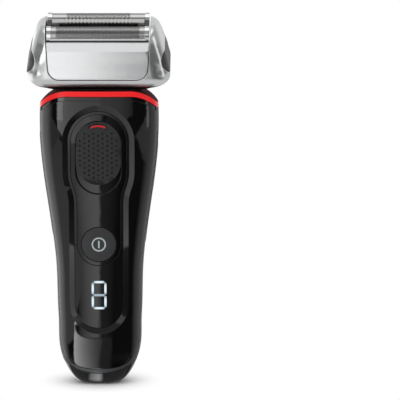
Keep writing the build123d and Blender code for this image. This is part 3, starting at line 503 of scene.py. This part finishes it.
def makeThumbPad():
    p = thumbPad
    low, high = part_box("lock_slider")
    pad = copyNode("lock_slider", "thumbPad")
    radius = (high.x - low.x) / 2 / mm
    topMiddle = high.z / mm - radius
    lowMiddle = low.z / mm + radius
    dimples = []
    columns = int(radius / p["across"])
    rows = int((high.z - low.z) / mm / p["down"]) + 1
    for column in range(-columns, columns + 1):
        for row in range(rows):
            x = column * p["across"]
            z = low.z / mm + (row + column % 2 / 2) * p["down"]
            end = max(0.0, z - topMiddle, lowMiddle - z)
            if math.hypot(x, end) > radius - p["margin"] or z > p["highest"]:
                continue
            found, spot, normal, index = cadNodes["lock_slider"].ray_cast(
                Vector((x * mm, low.y - p["ahead"] * mm, z * mm)), Vector((0, 1, 0)))
            if not found:
                continue
            deselectAll()
            bpy.ops.mesh.primitive_uv_sphere_add(segments=10, ring_count=6, radius=p["dimple"] * mm)
            ball = bpy.context.object
            ball.location = spot - normal * p["sink"] * mm
            bpy.ops.object.transform_apply(location=True, rotation=True, scale=True)
            dimples.append(ball)
    activate(dimples[0])
    for ball in dimples:
        ball.select_set(True)
    bpy.ops.object.join()
    cutter = bpy.context.object
    dress(cutter, finishes["inner_black"])
    dress(pad, finishes["grey_rubber"])
    applyModifier(pad, "BOOLEAN", object=cutter, operation="DIFFERENCE", solver="EXACT",
                  material_mode="TRANSFER")
    bpy.data.objects.remove(cutter)
    activate(pad)
    bpy.ops.object.shade_smooth_by_angle(angle=math.radians(p["smooth"]))
    # between the dimples the pad keeps the slider's own smooth shading
    slider = cadNodes["lock_slider"]
    skin = pad.vertex_groups.new(name="skin")
    for vertex in pad.data.vertices:
        spot = slider.closest_point_on_mesh(vertex.co)[1]
        if (spot - vertex.co).length < p["skin"] * mm:
            skin.add([vertex.index], 1.0, "REPLACE")
    applyModifier(pad, "DATA_TRANSFER", object=slider, use_loop_data=True,
                  data_types_loops={"CUSTOM_NORMAL"}, loop_mapping="POLYINTERP_NEAREST",
                  vertex_group="skin")
    return pad, len(dimples)


pad, count = makeThumbPad()
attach(pad, "lock_slider")
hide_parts("lock_slider")
print("thumb pad with", count, "dimples")


# grip ribs down both sides of the rear shell

gripRibs = {"low": 53.0, "count": 20, "pitch": 2.1, "front": -5.2, "back": 10.2, "width": 1.0,
            "rise": 0.16, "sink": 0.25, "clear": 40.0, "pieces": 12, "round": 0.1,
            "roundFrom": 50, "smooth": 40}


def makeRibSide(way):
    g = gripRibs
    deselectAll()
    bpy.ops.mesh.primitive_grid_add(x_subdivisions=g["pieces"], y_subdivisions=1, size=1.0)
    ribs = bpy.context.object
    for vertex in ribs.data.vertices:
        depth = g["front"] + (vertex.co.x + 0.5) * (g["back"] - g["front"])
        height = g["low"] + g["back"] - depth + vertex.co.y * g["width"]
        vertex.co = Vector((way * g["clear"], depth, height)) * mm
    applyModifier(ribs, "ARRAY", count=g["count"], constant_offset_displace=(0, 0, g["pitch"] * mm),
                  use_relative_offset=False, use_constant_offset=True)
    # lay the flat ribs against the shell, then give them their depth
    applyModifier(ribs, "SHRINKWRAP", target=cadNodes["rear_shell"], wrap_method="PROJECT",
                  use_project_x=True, use_negative_direction=way > 0, use_positive_direction=way < 0)
    thick = g["rise"] + g["sink"]
    applyModifier(ribs, "SOLIDIFY", thickness=thick * mm, offset=way * (g["rise"] - g["sink"]) / thick)
    bpy.ops.object.mode_set(mode="EDIT")
    bpy.ops.mesh.select_all(action="SELECT")
    bpy.ops.mesh.normals_make_consistent(inside=False)
    bpy.ops.object.mode_set(mode="OBJECT")
    applyModifier(ribs, "BEVEL", width=g["round"] * mm, segments=2, limit_method="ANGLE",
                  angle_limit=math.radians(g["roundFrom"]))
    return ribs


def makeGripRibs():
    left = makeRibSide(-1)
    ribs = makeRibSide(1)
    activate(ribs)
    left.select_set(True)
    bpy.ops.object.join()
    ribs.name = "gripRibs"
    bpy.ops.object.shade_smooth_by_angle(angle=math.radians(gripRibs["smooth"]))
    dress(ribs, finishes["soft_black"])
    return ribs


ribs = makeGripRibs()
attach(ribs, "handle")
print("grip ribs", len(ribs.data.polygons), "faces")


# floor, lamps and camera

stage = {"size": 24.0, "shade": 0.93, "clearFrom": 0.008, "clearTo": 0.028,
         "front": 0.04, "leftSide": 1.45, "rightSide": 0.65, "sideFrom": -0.6, "sideTo": 0.1,
         "sideBlend": 0.02, "plain": 0.75, "paintedShadowFrom": 0.018, "paintedShadowTo": 0.07,
         "lowFrom": 0.45, "lowBlend": 0.2, "steepBlend": 0.15, "rough": 0.9, "hair": 0.001}
# pale cards on the floor, seen only in reflections: each edge is a slope and an offset from the middle
farCards = [
    {"left": (1.05, 0.0), "right": (0.03, 0.0), "y": (-13.0, -0.62),
     "edge": 0.03, "level": (2.8, 1.15)},
    {"left": (0.07, 0.0), "right": (-0.5, 0.0), "y": (-13.0, -1.6),
     "edge": 0.05, "level": (0.95, 0.2)},
]
nearCards = [
    {"left": (0.47, -0.005), "right": (0.030, 0.0), "y": (-1.4, -0.096),
     "edge": 0.005, "level": (0.2, 1.8)},
    {"left": (0.030, 0.0), "right": (-0.2, 0.0), "y": (-1.4, -0.096),
     "edge": 0.005, "level": (0.24, 0.04)},
    {"left": (0.0, -0.50), "right": (0.0, -0.065), "y": (-0.50, -0.02),
     "edge": 0.02, "level": (0.6, 0.8)},
    {"left": (0.0, -2.5), "right": (0.0, -0.45), "y": (-0.62, -0.02),
     "edge": 0.05, "level": (0.4, 0.45)},
    {"left": (0.0, 0.40), "right": (0.0, 2.5), "y": (-0.62, -0.02),
     "edge": 0.06, "level": (0.55, 0.6)},
    {"left": (0.68, -0.0098), "right": (0.0, 0.0), "y": (-0.0945, -0.018),
     "edge": 0.005, "level": (7.3, 0.6)},
    {"left": (0.0, -0.01), "right": (-0.125, 0.0035), "y": (-0.0985, -0.018),
     "edge": 0.004, "level": (0.35, 0.25)},
]
# small cards at the foot; where steepest is given, steeper rays miss the card
footCards = [
    {"left": (0.0, -0.03), "right": (0.0, 0.03), "y": (-0.0165, -0.004),
     "edge": 0.004, "level": (0.42, 0.30)},
    {"left": (0.0, -0.0055), "right": (0.0, 0.0005), "y": (-0.014, -0.0085),
     "edge": 0.003, "level": (2.0, 6.5)},
    {"left": (0.68, -0.0098), "right": (0.0, 0.0), "y": (-0.04, -0.0165),
     "edge": 0.004, "level": (7.3, 0.6), "steepest": 0.22},
    {"left": (0.0, -0.01), "right": (-0.125, 0.0035), "y": (-0.04, -0.0165),
     "edge": 0.004, "level": (0.35, 0.25), "steepest": 0.22},
]

thinnestCard = 0.0001


def cardLight(tree, x, y, card):
    fromLeft = math2(tree, "SUBTRACT", x, math2(tree, "MULTIPLY_ADD", y, card["left"]))
    fromRight = math2(tree, "SUBTRACT", math2(tree, "MULTIPLY_ADD", y, card["right"]), x)
    wide = math2(tree, "ADD", math2(tree, "ADD", fromLeft, fromRight), thinnestCard)
    light = mapRange(tree, math2(tree, "DIVIDE", fromLeft, wide), *card["level"])
    far, near = card["y"]
    fromFar = math2(tree, "SUBTRACT", y, far)
    fromNear = math2(tree, "SUBTRACT", near, y)
    for depth in (fromLeft, fromRight, fromFar, fromNear):
        light = math2(tree, "MULTIPLY", light, rampUp(tree, depth, 0.0, card["edge"]))
    return light


def seenInMirror(tree, ray):
    return math2(tree, "MAXIMUM", ray.outputs["Is Glossy Ray"], ray.outputs["Is Transmission Ray"])


def makeFloor():
    deselectAll()
    bpy.ops.mesh.primitive_plane_add(size=stage["size"])
    floor = bpy.context.object
    floor.name = "floor"
    material = bpy.data.materials.new("paleFloor")
    material.use_nodes = True
    tree = material.node_tree
    shader = tree.nodes["Principled BSDF"]
    shader.inputs["Base Color"].default_value = (stage["shade"],) * 3 + (1.0,)
    shader.inputs["Roughness"].default_value = stage["rough"]
    glow = tree.nodes.new("ShaderNodeEmission")
    mix = tree.nodes.new("ShaderNodeMixShader")
    ray = tree.nodes.new("ShaderNodeLightPath")
    place = tree.nodes.new("ShaderNodeTexCoord")
    split = tree.nodes.new("ShaderNodeSeparateXYZ")
    reach = tree.nodes.new("ShaderNodeVectorMath")
    reach.operation = "LENGTH"
    tree.links.new(place.outputs["Object"], reach.inputs[0])
    tree.links.new(place.outputs["Object"], split.inputs[0])
    x, y = split.outputs[0], split.outputs[1]
    fade = rampBetween(tree, reach.outputs["Value"], stage["clearFrom"], stage["clearTo"])
    # reflections see pale sides and back, and the cards in front
    aside = math2(tree, "ADD", math2(tree, "ABSOLUTE", x, 0.0), stage["hair"])
    slant = math2(tree, "DIVIDE", y, aside)
    beside = rampBetween(tree, slant, stage["sideFrom"], stage["sideTo"])
    toRight = rampUp(tree, x, 0.0, stage["sideBlend"])
    sideLevel = mapRange(tree, toRight, stage["leftSide"], stage["rightSide"])
    level = math2(tree, "MAXIMUM", math2(tree, "MULTIPLY", beside, sideLevel), stage["front"])
    for card in farCards + nearCards:
        level = math2(tree, "MAXIMUM", level, cardLight(tree, x, y, card))
    # from above the floor is plain, with a painted shadow near the foot; the cards show at a low angle
    slope = tree.nodes.new("ShaderNodeLayerWeight")
    low = rampUp(tree, slope.outputs["Facing"], stage["lowFrom"], stage["lowBlend"])
    # painted shadow: the plain level that reflections see fades out near the foot
    plain = rampBetween(tree, reach.outputs["Value"], stage["paintedShadowFrom"], stage["paintedShadowTo"])
    level = mapRange(tree, low, math2(tree, "MULTIPLY", plain, stage["plain"]), level)
    for card in footCards:
        light = cardLight(tree, x, y, card)
        if "steepest" in card:
            caught = rampUp(tree, slope.outputs["Facing"], card["steepest"], stage["steepBlend"])
            light = math2(tree, "MULTIPLY", light, caught)
        level = math2(tree, "MAXIMUM", level, light)
    mirrored = seenInMirror(tree, ray)
    tree.links.new(mapRange(tree, mirrored, 1.0, level), glow.inputs["Strength"])
    shown = math2(tree, "MULTIPLY", ray.outputs["Is Camera Ray"], fade)
    tree.links.new(math2(tree, "MAXIMUM", shown, mirrored), mix.inputs[0])
    tree.links.new(shader.outputs[0], mix.inputs[1])
    tree.links.new(glow.outputs[0], mix.inputs[2])
    tree.links.new(mix.outputs[0], tree.nodes["Material Output"].inputs["Surface"])
    dress(floor, material)


worldLight = {"around": 0.75, "front": 0.40, "back": 0.8, "backFrom": 0.0, "backTo": 0.7,
              "bandTop": 0.16, "bandBlend": 0.08, "horizon": 10.0}


def makeWorld():
    world = bpy.data.worlds.new("studio")
    bpy.context.scene.world = world
    world.use_nodes = True
    tree = world.node_tree
    back = tree.nodes["Background"]
    ray = tree.nodes.new("ShaderNodeLightPath")
    place = tree.nodes.new("ShaderNodeTexCoord")
    split = tree.nodes.new("ShaderNodeSeparateXYZ")
    tree.links.new(place.outputs["Generated"], split.inputs[0])
    behind = rampBetween(tree, split.outputs[1], worldLight["backFrom"], worldLight["backTo"])
    mirrored = seenInMirror(tree, ray)
    # the far cards go on as a low band above the horizon
    x = math2(tree, "MULTIPLY", split.outputs[0], worldLight["horizon"])
    y = math2(tree, "MULTIPLY", split.outputs[1], worldLight["horizon"])
    band = stage["front"]
    for card in farCards:
        band = math2(tree, "MAXIMUM", cardLight(tree, x, y, card), band)
    above = rampUp(tree, split.outputs[2], worldLight["bandTop"], worldLight["bandBlend"])
    front = mapRange(tree, above, band, worldLight["front"])
    seen = math2(tree, "MAXIMUM", math2(tree, "MULTIPLY", behind, worldLight["back"]), front)
    level = mapRange(tree, mirrored, worldLight["around"], seen)
    strength = math2(tree, "MAXIMUM", level, ray.outputs["Is Camera Ray"])
    tree.links.new(strength, back.inputs["Strength"])
    back.inputs["Color"].default_value = (1.0, 1.0, 1.0, 1.0)


# level is how bright a lamp's face is beside white paper
lamps = [
    {"name": "leftSoftbox", "place": (-0.56, -0.66, 0.42), "aim": (0, 0, 0.08),
     "size": (0.30, 0.85), "level": 1.45},
    {"name": "rightStrip", "place": (0.75, -0.20, 0.3), "aim": (0, 0, 0.08),
     "size": (0.15, 0.8), "level": 1.3},
    {"name": "topSoftbox", "place": (0.0, -0.10, 0.95), "aim": (0, 0, 0.1),
     "size": (0.9, 0.7), "level": 1.3},
]


def makeLamp(lamp):
    data = bpy.data.lights.new(lamp["name"], "AREA")
    data.shape = "RECTANGLE"
    data.size, data.size_y = lamp["size"]
    data.energy = lamp["level"] * math.pi * data.size * data.size_y
    obj = bpy.data.objects.new(lamp["name"], data)
    bpy.context.scene.collection.objects.link(obj)
    obj.location = lamp["place"]
    obj.rotation_euler = (Vector(lamp["aim"]) - obj.location).to_track_quat("-Z", "Y").to_euler()


lens = {"distance": 1.2, "elevation": 8.0, "target": (0.0428, 0.0, 0.0785), "frameWidth": 0.1708,
        "sensor": 36.0, "farthest": 50.0}


def makeCamera():
    tilt = math.radians(lens["elevation"])
    data = bpy.data.cameras.new("camera")
    data.sensor_width = lens["sensor"]
    data.lens = lens["sensor"] * lens["distance"] / lens["frameWidth"]
    data.clip_end = lens["farthest"]
    cam = bpy.data.objects.new("camera", data)
    bpy.context.scene.collection.objects.link(cam)
    back = Vector((0.0, -math.cos(tilt), math.sin(tilt)))
    cam.location = Vector(lens["target"]) + back * lens["distance"]
    cam.rotation_euler = (math.pi / 2 - tilt, 0.0, 0.0)
    bpy.context.scene.camera = cam


makeFloor()
makeWorld()
for lamp in lamps:
    makeLamp(lamp)
makeCamera()
bpy.context.scene.view_settings.view_transform = "Standard"
print("stage ready")
